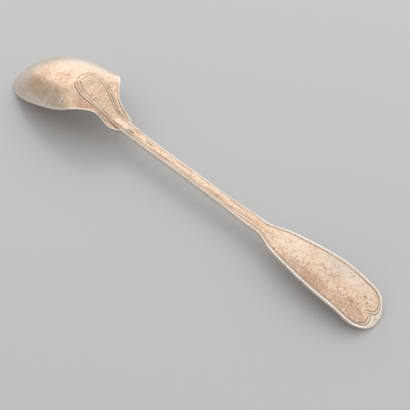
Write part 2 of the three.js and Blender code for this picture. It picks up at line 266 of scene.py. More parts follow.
def front_height(s, v):
    """Height of the bowl's inside, or of the shoulders' front. The wall tapers to the tip."""
    edge = rim_height(s) - plate_share(s) * SHOULDER_THICKNESS / 2
    wall = mix(BACK_WALL, NECK_WALL, step(0.7 * BOWL_LENGTH, BOWL_LENGTH, s))
    lowest = np.where(s < 0.2 * BOWL_LENGTH, edge + 0.2 * bulge(s), 0)
    middle = np.maximum(back_height(s, 0) - wall, lowest)
    return np.maximum(edge + (middle - edge) * dome(s, v), 0)


# The shoulders' own thread: a long narrow loop on each side of the drop's neck.
LOOP_START = 92
LOOP_FADE = 4  # over which the loop's open end comes in
LOOP_END = BOWL_LENGTH - 1.6  # a little short of the neck
LOOP_INNER = NECK_WIDTH / 2 + 0.35  # just beside the drop
LOOP_EDGE = 1.35  # from the shoulder's outline
LOOP_WIDTH = 0.55
LOOP_DEPTH = 0.2


def shoulder_threads(s, y):
    """Depth of the shoulders' grooves at a place of the plan, from 0 to 1."""
    outer = bowl_half_width(np.minimum(s, LOOP_END - 1)) - LOOP_EDGE
    middle = (LOOP_INNER + outer) / 2
    radius = np.maximum(outer - LOOP_INNER, 0) / 2
    past = np.maximum(s - (LOOP_END - radius), 0)
    away = np.hypot(np.abs(y) - middle, past) - radius
    return groove(away, LOOP_WIDTH) * step(LOOP_START, LOOP_START + LOOP_FADE, s)


# What the mesh tells the silver, from 0 to about 1: how much dirt lies in a groove, how bright
# an edge is rubbed, with painted highlights in the same mark, how far a place has tarnished, with
# painted shade, reflections and highlights in that mark too, and how much of it is streaked
# lengthwise.
MARKS = ("groove", "edge", "tarnish_and_painted_light", "streak")
MERGED = 1e-4  # points that lie closer together than this become one
SHARP_ANGLE = math.radians(50)


def shaped_grid(columns, rows, place):
    """A grid of columns by rows faces. place(column, row) gives x, y, z and the four marks."""
    sheet = bmesh.new()
    bmesh.ops.create_grid(sheet, x_segments=columns, y_segments=rows, size=1)
    flat = np.array([v.co[:2] for v in sheet.verts])
    share = (flat - flat.min(0)) / (flat.max(0) - flat.min(0))
    column = np.rint(share[:, 0] * columns).astype(int)
    row = np.rint(share[:, 1] * rows).astype(int)
    x, y, z, *marks = place(column, row)
    layers = [sheet.verts.layers.float.new(name) for name in MARKS]
    for i, vert in enumerate(sheet.verts):
        vert.co = (x[i], y[i], z[i])
        for layer, mark in zip(layers, marks):
            vert[layer] = mark[i]
    return sheet


def finished(sheet, name, node):
    """Closes a sheet and makes it a piece of the spoon, centred, that stands for a CAD node."""
    bmesh.ops.translate(sheet, verts=sheet.verts, vec=(-LENGTH / 2, 0, 0))
    bmesh.ops.remove_doubles(sheet, verts=sheet.verts, dist=MERGED)
    bmesh.ops.dissolve_degenerate(sheet, edges=sheet.edges, dist=MERGED)
    bmesh.ops.holes_fill(sheet, edges=sheet.edges, sides=0)
    bmesh.ops.recalc_face_normals(sheet, faces=sheet.faces)
    for seam in sheet.edges:
        seam.smooth = seam.calc_face_angle() < SHARP_ANGLE
    bmesh.ops.scale(sheet, verts=sheet.verts, vec=(MM, MM, MM))
    mesh = bpy.data.meshes.new(name)
    sheet.to_mesh(mesh)
    sheet.free()
    mesh.polygons.foreach_set("use_smooth", [True] * len(mesh.polygons))
    piece = bpy.data.objects.new(name, mesh)
    bpy.context.scene.collection.objects.link(piece)
    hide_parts(node)
    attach(piece, "root")
    return piece


# A patch is whole out to the first of these shares of its size, and has faded at the second.
PATCH_CORE = 0.35
PATCH_EDGE = 1.2


def patch(s, y, station, offset, length, width):
    """1 in the middle of an oval patch of the plan, 0 outside it."""
    away = np.hypot((s - station) / length, (y - offset) / width)
    return 1 - step(PATCH_CORE, PATCH_EDGE, away)


def patches(s, y, ovals):
    """The sum of several patches, each with its strength first."""
    return sum(strength * patch(s, y, *oval) for strength, *oval in ovals)


# Patches of the bowl's back: strength, station, offset, half length and half width.
BROWN_PATCHES = [(0.34, 42, -12, 12, 9), (0.36, 60, -7, 10, 6)]
# Rosy tarnish that also darkens the near heel and shoulder: partly painted shade.
ROSY_AND_SHADE_PATCHES = [(0.6, 87, -11, 12, 7), (0.35, 102, -6, 7, 4)]
# Paler patches that are painted reflections: grey-violet low on the near side, and paler silver
# beside the highlight and along the far rim.
PAINTED_REFLECTION_PATCHES = [(0.17, 66, -22.5, 30, 6.5), (0.08, 62, 9, 26, 8), (0.3, 46, 17, 34, 10)]
# Two pale upright streaks low on the near side: painted reflections.
PAINTED_REFLECTION_STREAKS = [(0.45, 59.3, -24, 0.9, 3), (0.45, 71.3, -19.8, 0.9, 3)]
# Creamy pale patches on the far rim and on the ridge beside the highlight: painted highlights.
PAINTED_HIGHLIGHT_PATCHES = [(0.75, 46, 17, 34, 10), (0.25, 52, 4, 22, 7)]

# The grey band along the rim: its width at the tip, and the stretch where it narrows.
FAR_BAND = (9, 66, 90)
NEAR_BAND = (7, 36, 70)
HEEL_BAND = 1.5  # its width at the heel
BAND_CLEAR = 0.2  # share of the band that stays quite grey
TAN = 0.5
TAN_STRETCH = (21, 42)  # stations between which the grey tip turns tan
TAN_SLANT = 0.25  # how far that turn leans towards the tip on the far side


def grey_band(s, width, start, end):
    return mix(width, HEEL_BAND, step(start, end, s))


def bowl_tarnish_and_painted_light(s, y, from_rim):
    """How far the back is toned, from 0 for grey silver to 1 for brown: tarnishing and painted
    shade, less painted reflections and highlights.
    """
    band = np.where(y > 0, grey_band(s, *FAR_BAND), grey_band(s, *NEAR_BAND))
    tan = TAN * step(BAND_CLEAR * band, band, from_rim) * step(*TAN_STRETCH, s + TAN_SLANT * y)
    # Brown and rosy tarnish, with painted shade, less the painted reflections and highlights.
    brown = patches(s, y, BROWN_PATCHES + ROSY_AND_SHADE_PATCHES)
    return tan + brown - patches(s, y, PAINTED_REFLECTION_PATCHES + PAINTED_REFLECTION_STREAKS)


# The bowl's wall, in one lap: over the back, round the far rim, along the inside and round
# the near rim.
BOWL_STATIONS = 300
BACK_COLUMNS = 150
FRONT_COLUMNS = 60
RIM_STOPS = 8
LAP = BACK_COLUMNS + FRONT_COLUMNS + 2 * RIM_STOPS
WIDEST = cad_high.y / MM - 0.001  # just inside the solids' own half width

# The rim's section. The first stops turn a quarter round its outer edge, the next to last one
# ends its flat face, and the last one starts the small round into the inside.
QUARTER_STOPS = 4
FACE_END_STOP = 6
INNER_STOP = 7
RIM_ROUND_OVER = 0.26
RIM_ROUND_UNDER = 0.14
INNER_ROUND = 0.12
INNER_CUT = 0.03
SHOULDER_FACE = 0.6  # the flat face's width where the wall has become a plate
SHOULDER_ROUND_OVER = 0.45
SHOULDER_ROUND_UNDER = 0.35

RIM_WEAR_AND_HIGHLIGHT = 0.9  # how far in from the outline the back is rubbed bright and painted with a highlight
INSIDE_FROM_RIM = 4  # the inside tarnishes as the back does this far from the rim
HEEL_STREAKS = 0.5


def square_to_rim(s):
    """The direction out of the bowl, square to its outline: along the spoon and across it."""
    nudge = 0.02
    ahead = np.minimum(s + nudge, BOWL_LENGTH)
    behind = np.maximum(s - nudge, 0)
    along = bowl_half_width(behind) - bowl_half_width(ahead)
    across = ahead - behind
    size = np.hypot(along, across)
    at_neck = s >= BOWL_LENGTH
    return np.where(at_neck, 0, along / size), np.where(at_neck, 1, across / size)


def rim_section(stop, share):
    """How far in from the outline, and how far above the rim's own height, a stop lies."""
    face = mix(RIM_WALL, SHOULDER_FACE, share)
    round_under = mix(RIM_ROUND_UNDER, SHOULDER_ROUND_UNDER, share)
    angle = math.pi / 2 * np.clip((stop - 1) / QUARTER_STOPS, 0, 1)
    inset = round_under * (1 - np.cos(angle))
    lift = round_under * (1 - np.sin(angle))
    inset = np.where(stop == FACE_END_STOP, face - INNER_ROUND, inset)
    lift = np.where(stop == FACE_END_STOP, 0, lift)
    inset = np.where(stop == INNER_STOP, face - INNER_CUT, inset)
    lift = np.where(stop == INNER_STOP, mix(INNER_CUT, 0, share), lift)
    return inset, lift


def make_bowl():
    far_rim = BACK_COLUMNS
    front = far_rim + RIM_STOPS
    near_rim = front + FRONT_COLUMNS

    def place(column, row):
        s = BOWL_LENGTH * (1 - np.cos(math.pi * column / BOWL_STATIONS)) / 2
        on_back = row <= far_rim
        on_front = (row >= front) & (row <= near_rim)
        v = np.where(on_back, np.sin(math.pi * (row / BACK_COLUMNS - 0.5)), 0)
        v = np.where(on_front, np.sin(math.pi * (0.5 - (row - front) / FRONT_COLUMNS)), v)
        side = np.where((row > far_rim) & (row < front), 1, np.where(row > near_rim, -1, 0))
        # Beside the near shoulder the lap leaves a wall open, which finished() fills.
        stop = np.where(side > 0, row - far_rim, LAP - row)

        half = bowl_half_width(s)
        share = plate_share(s)
        out_x, out_y = square_to_rim(s)
        inset, lift = rim_section(stop, share)
        inset = np.where(on_front, mix(RIM_WALL, SHOULDER_FACE, share), inset)
        inset = np.where(on_back, 0, inset)
        inner = np.maximum(half - inset * out_y, 0)
        x = s - inset * out_x
        y = np.clip(np.where(side == 0, v, side) * inner, -WIDEST, WIDEST)

        edge = (1 - np.abs(v)) * half * out_y
        threads = shoulder_threads(s, y)
        round_over = mix(RIM_ROUND_OVER, SHOULDER_ROUND_OVER, share)
        top = back_height(s, v) - rolled(edge, round_over) - LOOP_DEPTH * threads
        rim = front_height(s, 1) + lift
        under = front_height(s, v) + mix(INNER_ROUND, 0, share) * (np.abs(v) < 1)
        z = np.where(on_back, top, np.where(on_front, under, rim))

        # The rim rubbed bright, partly wear and partly a painted highlight, and the painted
        # highlight patches.
        worn_and_highlit = np.maximum(1 - step(0, RIM_WEAR_AND_HIGHLIGHT, edge), patches(s, y, PAINTED_HIGHLIGHT_PATCHES))
        worn_and_highlit = np.where(on_back, worn_and_highlit, np.where(on_front, 0, 1))
        tarnish_and_painted_light = bowl_tarnish_and_painted_light(s, y, np.where(on_back, edge, INSIDE_FROM_RIM))
        streaked = HEEL_STREAKS * on_back * step(0.8 * BOWL_LENGTH, 0.9 * BOWL_LENGTH, s)
        return x, y, np.maximum(z, 0), np.where(on_back, threads, 0), worn_and_highlit, tarnish_and_painted_light, streaked

    sheet = shaped_grid(BOWL_STATIONS, LAP, place)
    return finished(sheet, "bowl_silver", "bowl")


def outline_stations(half_width, start, end, count):
    """Stations from start to the rounded end, evenly spaced along the outline."""
    samples = 4001
    sweep = np.sin(np.linspace(0, math.pi / 2, samples))
    s = mix(start, end, sweep)
    length = np.concatenate([[0], np.cumsum(np.hypot(np.diff(s), np.diff(half_width(s))))])
    return np.interp(np.linspace(0, length[-1], count + 1), length, s)


def ring_distance(ring, ring_counts, knots):
    """Distance of a ring from the outline: each run of rings fills the space of two knots."""
    starts = np.concatenate([[0], np.cumsum(ring_counts)])
    distance = knots[0] + np.zeros(len(ring))
    for k, count in enumerate(ring_counts):
        inside = (ring > starts[k]) & (ring <= starts[k + 1])
        share = (ring - starts[k]) / count
        distance = np.where(inside, mix(knots[k], knots[k + 1], share), distance)
    return distance


def make_plate(columns, ring_counts, half_width, start, end, fan, ring_knots, lift):
    """A plate with a rounded end, in columns that run from its outline in to its middle line.

    The columns go along one side from start to the end and back along the other. Past the
    start of the fan they close in on a short stretch of the middle line.
    """
    half_count = columns // 2
    stations = outline_stations(half_width, start, end, half_count)
    rings = sum(ring_counts)

    def place(column, row):
        along = np.minimum(column, columns - column)
        side = np.where(column <= half_count, 1, -1)
        s = stations[along]
        half = np.where(along == half_count, 0, half_width(s))
        into = np.clip((s - fan[0]) / (end - fan[0]), 0, 1)
        middle = np.where((s - fan[0]) * (end - start) > 0, mix(fan[0], fan[1], into), s)
        reach = np.hypot(s - middle, half)
        # Row 0 is the middle of the top, and the last row is the middle of the underside.
        face = np.where(row <= rings, 1, -1)
        ring = np.where(row <= rings, rings - row, row - rings - 1)
        distance = ring_distance(ring, ring_counts, ring_knots(s, half, reach))
        share = distance / reach
        y = side * mix(half, 0, share)
        x, z, *marks = lift(mix(s, middle, share), y, s, half, distance, reach, face)
        return x, y, z, *marks

    return shaped_grid(columns, 2 * rings + 1, place)


def between_beads(distance, outward, inward):
    """1 at the bottom of a sharp groove, falling to 0 over the round beads beside it."""
    bead = np.minimum(THREAD_BEAD, np.where(distance < 0, outward, inward))
    return np.maximum(1 - np.abs(distance) / bead, 0) ** 2


def thread_pair(distance, inset, pitch, first_dirt):
    """Depth of the two grooves of a thread, from 0 to 1, and how much dirt they hold."""
    first = distance - inset
    second = first - pitch
    depth = between_beads(first, inset / 2, pitch / 2)
    depth = np.maximum(depth, between_beads(second, pitch / 2, THREAD_BEAD))
    return depth, np.maximum(first_dirt * groove(first), groove(second))


def thread_rings(first, inset, pitch, reach):
    """Distances from the outline where the rings of a threaded plate change their spacing."""
    return [first, EDGE, inset, inset + pitch, inset + pitch + THREAD_BEAD, reach]


# The handle's outline and the height of the middle of its metal.
def handle_station(share):
    return BOWL_LENGTH + share * HANDLE_LENGTH


handle_half_width = round_outline(
    [
        (BOWL_LENGTH, NECK_WIDTH / 2),
        (handle_station(0.11), mix(STEM_WIDTH, NECK_WIDTH, 0.2) / 2),
        (handle_station(0.25), STEM_WIDTH / 2),
        (handle_station(0.4), STEM_WIDTH / 2),
        (handle_station(0.5), mix(STEM_WIDTH, SPATULA_WIDTH, 0.045) / 2),
        (handle_station(0.56), mix(STEM_WIDTH, SPATULA_WIDTH, 0.08) / 2),
        (handle_station(0.605), mix(STEM_WIDTH, SPATULA_WIDTH, 0.155) / 2),
        (handle_station(0.65), mix(STEM_WIDTH, SPATULA_WIDTH, 0.47) / 2),
        (handle_station(0.7), mix(STEM_WIDTH, SPATULA_WIDTH, 0.67) / 2),
        (handle_station(0.86), SPATULA_WIDTH / 2),
        (handle_station(0.92), 0.98 * SPATULA_WIDTH / 2),
        (handle_station(0.968), 0.86 * SPATULA_WIDTH / 2),
        (LENGTH, 0),
    ]
)
END_HEIGHT = SPATULA_FLANK / 4 - 2 * WORN_FLAT
END_OVERHANG = 0.26  # how far the leaning end reaches past its middle line
END_START = handle_station(0.9)  # the accolade lies past it
handle_height = curve_through(
    [
        (BOWL_LENGTH, NECK_HEIGHT),
        (handle_station(0.065), mix(STEM_HEIGHT, NECK_HEIGHT, 0.45)),
        (handle_station(0.24), STEM_HEIGHT),
        (handle_station(0.48), mix(SPATULA_HEIGHT, STEM_HEIGHT, -0.3)),
        (handle_station(0.69), SPATULA_HEIGHT),
        (handle_station(0.8), mix(END_HEIGHT, SPATULA_HEIGHT, 0.99)),
        (handle_station(0.875), mix(END_HEIGHT, SPATULA_HEIGHT, 0.9)),
        (handle_station(0.935), mix(END_HEIGHT, SPATULA_HEIGHT, 0.68)),
        (handle_station(0.975), mix(END_HEIGHT, SPATULA_HEIGHT, 0.37)),
        (LENGTH, END_HEIGHT),
    ]
)


def spatula_share(s):
    """0 on the stem, 1 on the spatula."""
    return step(handle_station(0.45), handle_station(0.75), s)


def face_height(s, distance, reach):
    """Height of the handle's crowned face over the middle of its metal."""
    spread = spatula_share(s)
    neck = mix(NECK_THICKNESS, STEM_THICKNESS, step(BOWL_LENGTH, handle_station(0.15), s))
    middle = mix(neck, SPATULA_THICKNESS, spread) / 2
    flank = mix(STEM_FLANK, SPATULA_FLANK, spread) / 2
    crown = 1 - (1 - np.clip(distance / reach, 0, 1)) ** 2
    return mix(flank, middle, crown)


# The drop's outline: share of its length from the round head, share of its half width.
DROP_PLAN = [
    (0, 0),
    (0.03, 0.505),
    (0.11, 0.785),
    (0.19, 0.91),
    (0.29, 1),
    (0.4, 0.955),
    (0.5, 0.84),
    (0.6, 0.665),
]
drop_half_width = round_outline(
    [(DROP_HEAD + along * DROP_LENGTH, wide * DROP_WIDTH / 2) for along, wide in DROP_PLAN]
    + [
        (DROP_HEAD + 0.7 * DROP_LENGTH, mix(NECK_WIDTH, DROP_WIDTH, 0.12) / 2),
        (DROP_HEAD + 0.8 * DROP_LENGTH, NECK_WIDTH / 2),
        (BOWL_LENGTH, NECK_WIDTH / 2),
    ]
)
DROP_COLUMNS = 340
DROP_RINGS = (8, 8, 14, 8, 16)
DROP_SUNK = 0.1  # how far the drop's underside lies in the bowl's back
NECK_JOIN = 12  # length over which the drop's face turns into the handle's
NECK_TARNISH = 0.45
NECK_STREAKS = 20  # length over which the streaks of the stem come in
HEAD_STREAKS = 0.4
SEAM_DIRT = 0.7
SEAM_STRETCH = (-0.05, 0.22)  # distances from the outline between which the dirt ends
# A pale band just inside the drop's edge: partly rubbed wear, partly a painted highlight.
DROP_EDGE_WEAR_AND_HIGHLIGHT = 0.35
DROP_EDGE_NEAR = (0.2, 0.45)  # distances from the outline between which the wear and painted highlight start
DROP_EDGE_FAR = (0.7, 1.1)  # and between which it ends


def make_drop():
    waist = DROP_HEAD + 0.3 * DROP_LENGTH
    fan = (waist, DROP_HEAD + 0.2 * DROP_LENGTH)

    def insets(s, half):
        to_stem = step(DROP_HEAD + 0.45 * DROP_LENGTH, DROP_HEAD + 0.8 * DROP_LENGTH, s)
        off = half / (DROP_DIP_WIDTH / 2)
        dip = np.where(s < waist, DROP_DIP_DEPTH * np.maximum(1 - off**4, 0), 0)
        inset = mix(DROP_THREAD_INSET, STEM_THREAD_INSET, to_stem)
        pitch = mix(DROP_THREAD_PITCH, STEM_THREAD_PITCH, to_stem) + dip
        return inset, pitch

    def ring_knots(s, half, reach):
        return thread_rings(-FOOT, *insets(s, half), reach)

    def lift(x, y, s, half, distance, reach, face):
        depth, dirt = thread_pair(distance, *insets(s, half), 1.0)
        back = back_height(x, y / bowl_half_width(x))
        own = back + DROP_RISE * step(-FOOT, EDGE, distance)
        joined = handle_height(x) + face_height(BOWL_LENGTH, distance, reach)
        joined = np.where(distance < 0, back, joined - rolled(distance, EDGE))
        top = mix(own, joined, step(BOWL_LENGTH - NECK_JOIN, BOWL_LENGTH, x))
        on_top = (face > 0) & (distance > -FOOT)
        z = np.where(on_top, top - THREAD_DEPTH * depth, back - DROP_SUNK)
        grooved = np.maximum(dirt, SEAM_DIRT - SEAM_DIRT * step(*SEAM_STRETCH, distance))
        rubbed_and_highlit = step(*DROP_EDGE_NEAR, distance) * (1 - step(*DROP_EDGE_FAR, distance))
        streaked = mix(HEAD_STREAKS, 1, step(BOWL_LENGTH - NECK_STREAKS, BOWL_LENGTH, x))
        return x, z, grooved, DROP_EDGE_WEAR_AND_HIGHLIGHT * rubbed_and_highlit, np.full(len(x), NECK_TARNISH), streaked

    sheet = make_plate(
        DROP_COLUMNS, DROP_RINGS, drop_half_width, BOWL_LENGTH, DROP_HEAD, fan, ring_knots, lift
    )
    return finished(sheet, "drop_silver", "drop")


HANDLE_COLUMNS = 760
HANDLE_RINGS = (8, 8, 14, 8, 18)

# Two plain worn dents on the back of the stem: station, offset, half length and half width.
DENTS = [(115, -1.0, 3.6, 1.0), (130.5, 0.2, 4.2, 0.7)]
DENT_DEPTH = 0.14
DENT_DIRT = 0.6
DENT_SLOPE = (0.6, 1.15)  # shares of its size between which it rises to the surface

# Small pits in the spatula's back: station, offset and radius.
PITS = [
    (259.8, -1.8, 0.8),
    (268.2, 1.7, 1.0),
    (276.1, 3.2, 0.8),
    (282.1, 9.0, 0.9),
    (290.3, -3.4, 0.8),
    (293.8, 4.6, 1.0),
    (296.2, 2.4, 0.7),
    (296.6, 6.0, 0.8),
]
PIT_DEPTH = 0.1
PIT_DIRT = 0.8
PIT_SLOPE = (0.3, 1.1)

# The stem's grooves are worn shallower and cleaner than the spatula's.
STEM_GROOVE_WEAR = 0.3
STEM_GROOVE_CLEAN = 0.5
OUTER_GROOVE_DIRT = 0.5  # how much of the inner groove's dirt the outer one holds

# Patches of the handle: strength, station, offset, half length and half width.
# Rosy tarnish that also darkens the spatula's near side and its bent-down end: partly painted
# shade.
HANDLE_ROSY_AND_SHADE_PATCHES = [
    (0.6, handle_station(0.78), -10, 28, 7),
    (0.15, handle_station(0.6), 0, 12, 6),
    (0.5, handle_station(0.92), -7, 16, 7),
]
HANDLE_GREY_PATCHES = [(0.06, handle_station(0.84), 9, 30, 6)]
# Pale patches on the spatula's start and far side: painted highlights.
HANDLE_HIGHLIGHT_PATCHES = [
    (0.35, handle_station(0.69), 3, 16, 8),
    (0.4, handle_station(0.85), 8, 24, 6),
]
BEAD_WEAR_AND_HIGHLIGHT = 0.6  # how bright the bead between the two grooves is rubbed, partly a painted highlight


def stem_share(x):
    """1 along the stem, 0 at the neck and on the spatula."""
    past_neck = step(handle_station(0.05), handle_station(0.15), x)
    return past_neck * (1 - step(handle_station(0.5), handle_station(0.62), x))


def strongest(s, y, ovals):
    """The largest of several patches, each with its strength first."""
    return np.max([strength * patch(s, y, *oval) for strength, *oval in ovals], axis=0)


def dents(x, y):
    depth = np.zeros(len(x))
    for station, offset, long, wide in DENTS:
        away = np.hypot((x - station) / long, (y - offset) / wide)
        depth = np.maximum(depth, 1 - step(*DENT_SLOPE, away))
    return depth


def pits(x, y):
    depth = np.zeros(len(x))
    for station, offset, radius in PITS:
        away = np.hypot(x - station, y - offset) / radius
        depth = np.maximum(depth, 1 - step(*PIT_SLOPE, away))
    return depth


def handle_lean(x):
    """Slope of the handle's middle line. At the neck its end stays upright."""
    nudge = 0.1
    rise = (handle_height(x + nudge) - handle_height(x - nudge)) / (2 * nudge)
    return rise * step(BOWL_LENGTH, handle_station(0.1), x)


def make_handle():
    fan_start = LENGTH - SPATULA_WIDTH / 2
    fan = (fan_start, fan_start + SPATULA_WIDTH / 8)

    def insets(s, half):
        spread = spatula_share(s)
        at_end = s > END_START
        # The accolade: two arcs that meet in a point on the middle line.
        fall = np.maximum(1 - half / (ACCOLADE_WIDTH / 2), 0) ** 2
        dip = np.where(at_end, ACCOLADE_DEPTH * fall, 0)
        inset = mix(STEM_THREAD_INSET, SPATULA_THREAD_INSET, spread) + dip
        pitch = mix(STEM_THREAD_PITCH, SPATULA_THREAD_PITCH, spread)
        apart = ACCOLADE_SPREAD * step(*ACCOLADE_PARTING, half / (SPATULA_WIDTH / 2)) * at_end
        return inset, pitch + apart

    def ring_knots(s, half, reach):
        return thread_rings(0, *insets(s, half), reach)

    def lift(x, y, s, half, distance, reach, face):
        inset, pitch = insets(s, half)
        at_dip = (s > END_START) * step(*ACCOLADE_DIRT, half / (SPATULA_WIDTH / 2))
        depth, dirt = thread_pair(distance, inset, pitch, mix(OUTER_GROOVE_DIRT, 1, at_dip))
        on_stem = stem_share(x)
        depth = (1 - STEM_GROOVE_WEAR * on_stem) * depth
        dirt = (1 - STEM_GROOVE_CLEAN * on_stem) * dirt
        dented = np.where(face > 0, dents(x, y), 0)
        pitted = np.where(face > 0, pits(x, y), 0)
        height = face_height(x, distance, reach) - rolled(distance, EDGE)
        height = height - THREAD_DEPTH * depth - DENT_DEPTH * dented - PIT_DEPTH * pitted
        lean = handle_lean(x)
        square = np.hypot(1, lean)
        z = handle_height(x) + face * height / square

        # Rubbed edges and bead, partly painted highlights, and the painted highlight patches.
        worn_and_highlit = 1 - step(0.7 * inset, inset, distance)
        worn_and_highlit = np.maximum(worn_and_highlit, BEAD_WEAR_AND_HIGHLIGHT * groove(distance - inset - pitch / 2, pitch))
        worn_and_highlit = np.maximum(worn_and_highlit, strongest(x, y, HANDLE_HIGHLIGHT_PATCHES))
        marked = np.maximum(dirt, np.maximum(DENT_DIRT * dented, PIT_DIRT * pitted))
        tarnish_and_painted_light = NECK_TARNISH + strongest(x, y, HANDLE_ROSY_AND_SHADE_PATCHES)
        tarnish_and_painted_light = tarnish_and_painted_light - patches(x, y, HANDLE_GREY_PATCHES)
        x = np.minimum(x - face * height * lean / square, LENGTH + END_OVERHANG)
        streaked = 1 - step(handle_station(0.55), handle_station(0.68), x)
        return x, np.maximum(z, 0), marked, worn_and_highlit, tarnish_and_painted_light, streaked

    sheet = make_plate(
        HANDLE_COLUMNS, HANDLE_RINGS, handle_half_width, BOWL_LENGTH, LENGTH, fan, ring_knots, lift
    )
    return finished(sheet, "handle_silver", "handle")


# Building blocks of the silver's material.
def node(tree, kind, values, **settings):
    """Adds a node. A value is set on its input, and another node's output is linked to it."""
    made = tree.nodes.new(kind)
    for key, value in settings.items():
        setattr(made, key, value)
    for key, value in values.items():
        if isinstance(value, bpy.types.NodeSocket):
            tree.links.new(value, made.inputs[key])
        else:
            made.inputs[key].default_value = value
    return made


def cloudy(tree, where, size, detail, roughness):
    """Noise whose largest patches measure about size, in metres."""
    values = {"Vector": where, "Scale": 1 / size, "Detail": detail, "Roughness": roughness}
    return node(tree, "ShaderNodeTexNoise", values).outputs["Fac"]


def drawn_out(tree, where, angle, size):
    """Places for a noise of scale 1 whose patches have the size along, across and in height."""
    values = {"Vector": where, "Rotation": (0, 0, angle), "Scale": size}
    return node(tree, "ShaderNodeMapping", values, vector_type="TEXTURE").outputs["Vector"]


def ease(tree, value, low, high):
    """0 below low, 1 above high and smooth between them."""
    values = {"Value": value, "From Min": low, "From Max": high}
    made = node(tree, "ShaderNodeMapRange", values, interpolation_type="SMOOTHSTEP")
    return made.outputs["Result"]


def reckon(tree, operation, a, b):
    return node(tree, "ShaderNodeMath", {0: a, 1: b}, operation=operation).outputs["Value"]


def plus(tree, a, b):
    return reckon(tree, "ADD", a, b)


def minus(tree, a, b):
    return reckon(tree, "SUBTRACT", a, b)


def times(tree, a, b):
    return reckon(tree, "MULTIPLY", a, b)


def larger(tree, a, b):
    return reckon(tree, "MAXIMUM", a, b)


def near_middle(tree, noise, low, high):
    """1 along the thin lines where a noise crosses its middle value, 0 away from them."""
    away = reckon(tree, "ABSOLUTE", minus(tree, noise, 0.5), 0)
    return minus(tree, 1, ease(tree, away, low, high))


def blend(tree, share, a, b):
    """The colour a where share is 0 and b where it is 1."""
    a = a if isinstance(a, bpy.types.NodeSocket) else (*a, 1)
    b = b if isinstance(b, bpy.types.NodeSocket) else (*b, 1)
    values = {"Factor": share, 6: a, 7: b}
    return node(tree, "ShaderNodeMix", values, data_type="RGBA").outputs[2]


PALE_SILVER = (0.84, 0.755, 0.655)
DULL_SILVER = (0.76, 0.595, 0.46)
TAN_SILVER = (0.87, 0.63, 0.445)
BROWN_TARNISH = (0.64, 0.42, 0.30)
SPOT_BROWN = (0.36, 0.22, 0.15)
GROOVE_DIRT = (0.20, 0.115, 0.07)
RUBBED_TAN = (0.95, 0.82, 0.66)
# Pale silver of scratches and rubbed edges, also laid on as painted highlights.
WORN_AND_HIGHLIT_SILVER = (0.96, 0.905, 0.815)

# Sizes of the silver's patterns, in metres.
BLOTCH_SIZE = 0.024
MOTTLE_SIZE = 0.004
SPECK_SIZE = 0.0013
CURL_SIZE = 0.0035
WAVE_SIZE = 0.009
STREAK_SIZE = (0.02, 0.0007, 0.0007)
SCRATCHED_SIZE = 0.012  # of the places that have scratches

# The scratches: direction on the plan, length and width.
SCRATCHES = [(0.1, 0.016, 0.0009), (1.0, 0.011, 0.0008), (-0.7, 0.013, 0.0008)]

# Heights of the relief, in millimetres.
WAVE_HEIGHT = 0.08
DIMPLE_HEIGHT = 0.14
GRAIN_HEIGHT = 0.09
SCRATCH_DEPTH = 0.01

# What each noise adds to the unevenness, and its middle value, as a noise has its own at 0.5.
UNEVEN_BLOTCHES = 0.9
UNEVEN_MOTTLES = 0.6
UNEVEN_SPECKS = 1.2
UNEVEN_MIDDLE = (UNEVEN_BLOTCHES + UNEVEN_MOTTLES + UNEVEN_SPECKS) / 2

# How strongly each kind of wear, painted edge highlights among them, shows in the colour.
SPOT_STRENGTH = 0.16
GRAIN_STRENGTH = 0.42
POCK_STRENGTH = 0.6
CURL_STRENGTH = 0.6
DARK_STREAK_STRENGTH = 0.6
LIGHT_STREAK_STRENGTH = 0.7
SCRATCH_STRENGTH = 0.5
EDGE_WEAR_AND_HIGHLIGHT_STRENGTH = 0.8
DIRT_STRENGTH = 0.85

# How blurred the reflections are: in clean silver, more where it is uneven and more in dirt.
CLEAN_ROUGHNESS = 0.08
UNEVEN_ROUGHNESS = 0.1
DIRT_ROUGHNESS = 0.3


def scratches(tree, where, angle, length, width):
    """Thin broken lines that run along one direction of the plan."""
    stretched = drawn_out(tree, where, angle, (length, width, width))
    line = near_middle(tree, cloudy(tree, stretched, 1.0, 1.0, 0.4), 0, 0.02)
    return times(tree, line, ease(tree, cloudy(tree, where, SCRATCHED_SIZE, 2, 0.5), 0.44, 0.58))


def all_scratches(tree, where):
    lines = [scratches(tree, where, *scratch) for scratch in SCRATCHES]
    return larger(tree, larger(tree, lines[0], lines[1]), lines[2])


def tarnish_and_light_colour(tree, uneven, tarnish_and_light_tone):
    """Pale silver that turns dull, tan and brown, patch by patch, with tarnishing and painted
    shade, reflections and highlights.
    """
    depth = plus(tree, minus(tree, uneven, UNEVEN_MIDDLE), tarnish_and_light_tone)
    colour = blend(tree, ease(tree, depth, -0.1, 0.15), PALE_SILVER, DULL_SILVER)
    colour = blend(tree, ease(tree, depth, 0.1, 0.5), colour, TAN_SILVER)
    return blend(tree, ease(tree, depth, 0.5, 1.0), colour, BROWN_TARNISH)


def speckles(tree, mottles, specks, tarnish_and_light_tone, speckled):
    """Brown spots and finer grains, only where the silver is toned darker, by tarnishing and by
    painted shade.
    """
    spots = times(tree, ease(tree, mottles, 0.45, 0.62), SPOT_STRENGTH)
    grains = times(tree, ease(tree, specks, 0.49, 0.6), GRAIN_STRENGTH * speckled)
    return times(tree, plus(tree, spots, grains), ease(tree, tarnish_and_light_tone, 0.0, 0.4))


